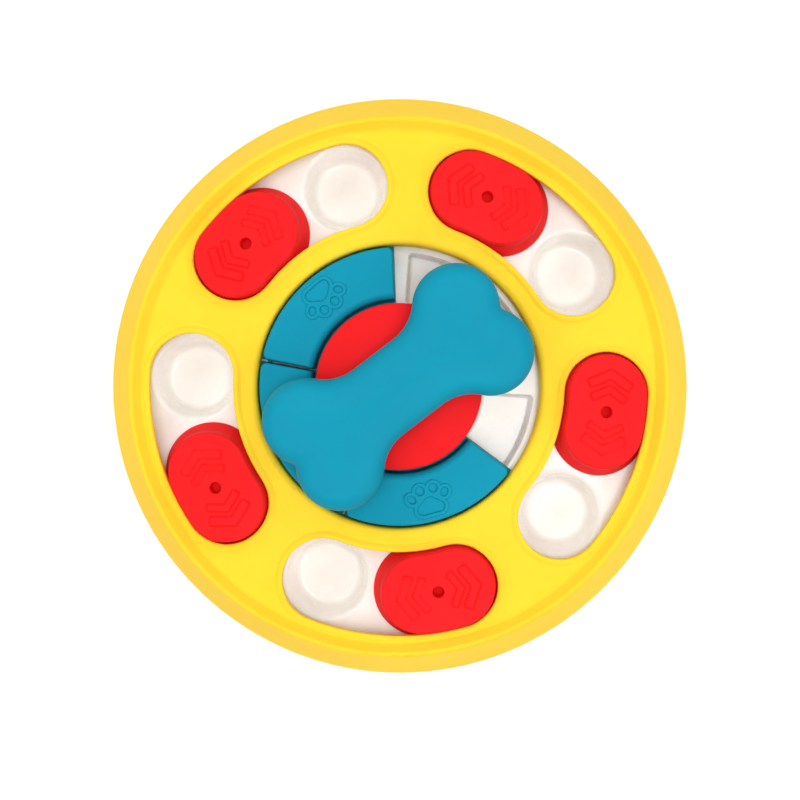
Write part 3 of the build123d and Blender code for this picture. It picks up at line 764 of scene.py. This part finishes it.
# %% Node group that turns a moulding into place
def turning_group():
    """Geometry nodes: instance the moulding once, turned about Z, then make it real"""
    group = bpy.data.node_groups.new("turned_moulding", "GeometryNodeTree")
    for name, kind in (("Moulding", "NodeSocketGeometry"), ("Turn", "NodeSocketFloat"),
                       ("Finish", "NodeSocketMaterial")):
        group.interface.new_socket(name, in_out="INPUT", socket_type=kind)
    group.interface.new_socket("Geometry", in_out="OUTPUT", socket_type="NodeSocketGeometry")

    def step(kind, sockets=None, **settings):
        made = group.nodes.new(kind)
        for name, value in settings.items():
            setattr(made, name, value)
        for name, value in (sockets or {}).items():
            if isinstance(value, bpy.types.NodeSocket):
                group.links.new(value, made.inputs[name])
            else:
                made.inputs[name].default_value = value
        return made

    entry = step("NodeGroupInput")
    place = step("GeometryNodePoints", {"Count": 1, "Radius": MM})
    turn = step("ShaderNodeCombineXYZ", {"Z": entry.outputs["Turn"]})
    copies = step("GeometryNodeInstanceOnPoints", {
        "Points": place.outputs[0], "Instance": entry.outputs["Moulding"]})
    rotation = step("FunctionNodeEulerToRotation", {"Euler": turn.outputs[0]})
    group.links.new(rotation.outputs[0], copies.inputs["Rotation"])
    real = step("GeometryNodeRealizeInstances", {"Geometry": copies.outputs[0]})
    painted = step("GeometryNodeSetMaterial", {
        "Geometry": real.outputs[0], "Material": entry.outputs["Finish"]})
    step("NodeGroupOutput", {"Geometry": painted.outputs[0]})
    return group


turning = turning_group()


def socket_name(group, name):
    """The identifier of a named input of a node group"""
    return next(item.identifier for item in group.interface.items_tree
                if item.name == name and item.in_out == "INPUT")


def copy_at(mesh, name, turn, finish):
    """A plain mesh object: the moulding turned into its place at rest"""
    carrier = bpy.data.objects.new(name + "_carrier", mesh)
    bpy.context.scene.collection.objects.link(carrier)
    modifier = carrier.modifiers.new("turn", "NODES")
    modifier.node_group = turning
    modifier[socket_name(turning, "Turn")] = math.radians(turn)
    modifier[socket_name(turning, "Finish")] = finish
    baked = bpy.data.meshes.new_from_object(
        carrier.evaluated_get(bpy.context.evaluated_depsgraph_get()))
    bpy.data.objects.remove(carrier)
    baked.name = name
    piece = bpy.data.objects.new(name, baked)
    bpy.context.scene.collection.objects.link(piece)
    return piece


def dress(piece, node, body):
    """Puts a finished piece in the place of a node of the frame"""
    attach(piece, body)
    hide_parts(node)
    print(piece.name, "takes the place of", node, "with", len(piece.data.polygons), "faces")


# %% Turn the mouldings into place
slider_count, lid_count = 5, 3
slot_middle, slider_aside = 51.4, 13.55                # each slider rests at one end of its slot
lid_start, lid_gap = 92.25, 0.8
for number in range(slider_count):
    turn = slot_middle + slider_aside + 360 / slider_count * number
    slider = copy_at(slider_mesh, f"slider_look_{number + 1}", turn, red_plastic)
    dress(slider, f"slider_{number + 1}", f"slide_lid_{number + 1}")

for number in range(lid_count):
    turn = lid_start + lid_degrees / 2 + (lid_degrees + lid_gap) * number
    lid = copy_at(lid_mesh, f"sector_look_{number + 1}", turn, teal_plastic)
    dress(lid, f"wedge_cover_{number + 1}", f"sector_lid_{number + 1}")

bone_mesh.materials.append(teal_plastic)
bone = bpy.data.objects.new("bone_look", bone_mesh)
bpy.context.scene.collection.objects.link(bone)
dress(bone, "bone_top", "spinner")

# %% [markdown]
# ## Floor
# A plain white table. It takes the toy's soft shadow like any white card. A little light of its own,
# seen only by the camera and in reflections, lifts the open table to white without lighting the toy.

# %% White table
table_glow = 0.12


def seen_rays(finish):
    """1 for rays that carry a view, straight, in a mirror or through glass; 0 for those that light"""
    paths = finish.tree.nodes.new("ShaderNodeLightPath")
    kinds = ("Is Camera Ray", "Is Glossy Ray", "Is Transmission Ray")
    camera_ray, mirror_ray, glass_ray = (Wire(finish, paths.outputs[kind]) for kind in kinds)
    seen = camera_ray + mirror_ray + glass_ray
    return seen.calculate("MINIMUM", seen, 1.0)


def white_table():
    """Matt white whose own faint glow only the camera and mirrors see"""
    finish = Finish("white_table")
    finish.shade(Base_Color=tint(244, 244, 243), Roughness=0.9, Specular_IOR_Level=0.1)
    glow = finish.node("ShaderNodeEmission", {}, {
        "Color": (1, 1, 1, 1), "Strength": table_glow * seen_rays(finish),
    })
    both = finish.node("ShaderNodeAddShader", {}, {0: Wire(finish, finish.shader.outputs[0]), 1: glow})
    finish.tree.links.new(both.socket, finish.tree.nodes["Material Output"].inputs["Surface"])
    return finish.material


table_reach = 4.0
table_mesh = bpy.data.meshes.new("table")
table_mesh.from_pydata(
    [(x * table_reach, y * table_reach, 0) for x, y in ((-1, -1), (1, -1), (1, 1), (-1, 1))],
    [], [(0, 1, 2, 3)],
)
table_mesh.materials.append(white_table())
table = bpy.data.objects.new("table", table_mesh)
bpy.context.scene.collection.objects.link(table)

# %% [markdown]
# ## Light
# An even dome of light and a large polarised box overhead give the colours about as they are painted,
# down to the floor of the deep wells. A small box beside it puts a sheen on the flat white floors near
# the middle. Four boxes stand lower round the toy: they shape the walls, draw the edges of the raised
# marks and put thin glints into the glossy wells. The one at the front right is the strongest. The
# dome's own light is dim, but rays that carry a view see it white, like the table.

# %% World and soft boxes
world = bpy.data.worlds.new("studio")
bpy.context.scene.world = world
world.use_nodes = True
dome_strength = 0.34
lamp_distance = 1.2


class Sky(Finish):
    """The world's background, built of the same kind of sums"""

    def __init__(self, tree):
        self.tree = tree
        self.shader = tree.nodes["Background"]


sky = Sky(world.node_tree)
sky.shade(
    Color=(1.0, 1.0, 1.0, 1.0),
    Strength=dome_strength + (1 - dome_strength) * seen_rays(sky),
)


def soft_box(name, azimuth, zenith, size, power, mirrored=True):
    """A square lamp that faces the toy, at angles in degrees; a polarised one makes no reflection"""
    turn, lean = math.radians(azimuth), math.radians(zenith)
    way = Vector((math.sin(lean) * math.cos(turn), math.sin(lean) * math.sin(turn), math.cos(lean)))
    lamp = bpy.data.lights.new(name, "AREA")
    lamp.shape = "SQUARE"
    lamp.size = size
    lamp.energy = power
    holder = bpy.data.objects.new(name, lamp)
    holder.location = way * lamp_distance
    holder.rotation_euler = way.to_track_quat("Z", "Y").to_euler()
    holder.visible_glossy = mirrored
    bpy.context.scene.collection.objects.link(holder)


soft_box("top_box", azimuth=0, zenith=0, size=0.9, power=5.5, mirrored=False)
soft_box("glint_box", azimuth=-25, zenith=6.8, size=0.3, power=1.7)
soft_box("key_box", azimuth=-40, zenith=52, size=0.5, power=3.6)
soft_box("back_right_box", azimuth=55, zenith=52, size=0.5, power=2.2)
soft_box("back_left_box", azimuth=140, zenith=52, size=0.5, power=2.7)
soft_box("front_left_box", azimuth=215, zenith=52, size=0.5, power=2.2)

# %% [markdown]
# ## Camera
# The toy is seen straight from above, from a little over half a metre. The lens is shifted very
# slightly, because the toy doesn't stand exactly under the camera.

# %% Camera
lens = bpy.data.cameras.new("camera")
lens.lens = 53.55
lens.sensor_width = 36.0
lens.shift_x = -0.0281
lens.shift_y = -0.0319
lens.clip_start = 0.01
camera = bpy.data.objects.new("camera", lens)
camera.location = (0.00983, 0.00498, 0.520)
bpy.context.scene.collection.objects.link(camera)
bpy.context.scene.camera = camera
bpy.context.scene.view_settings.view_transform = "Standard"
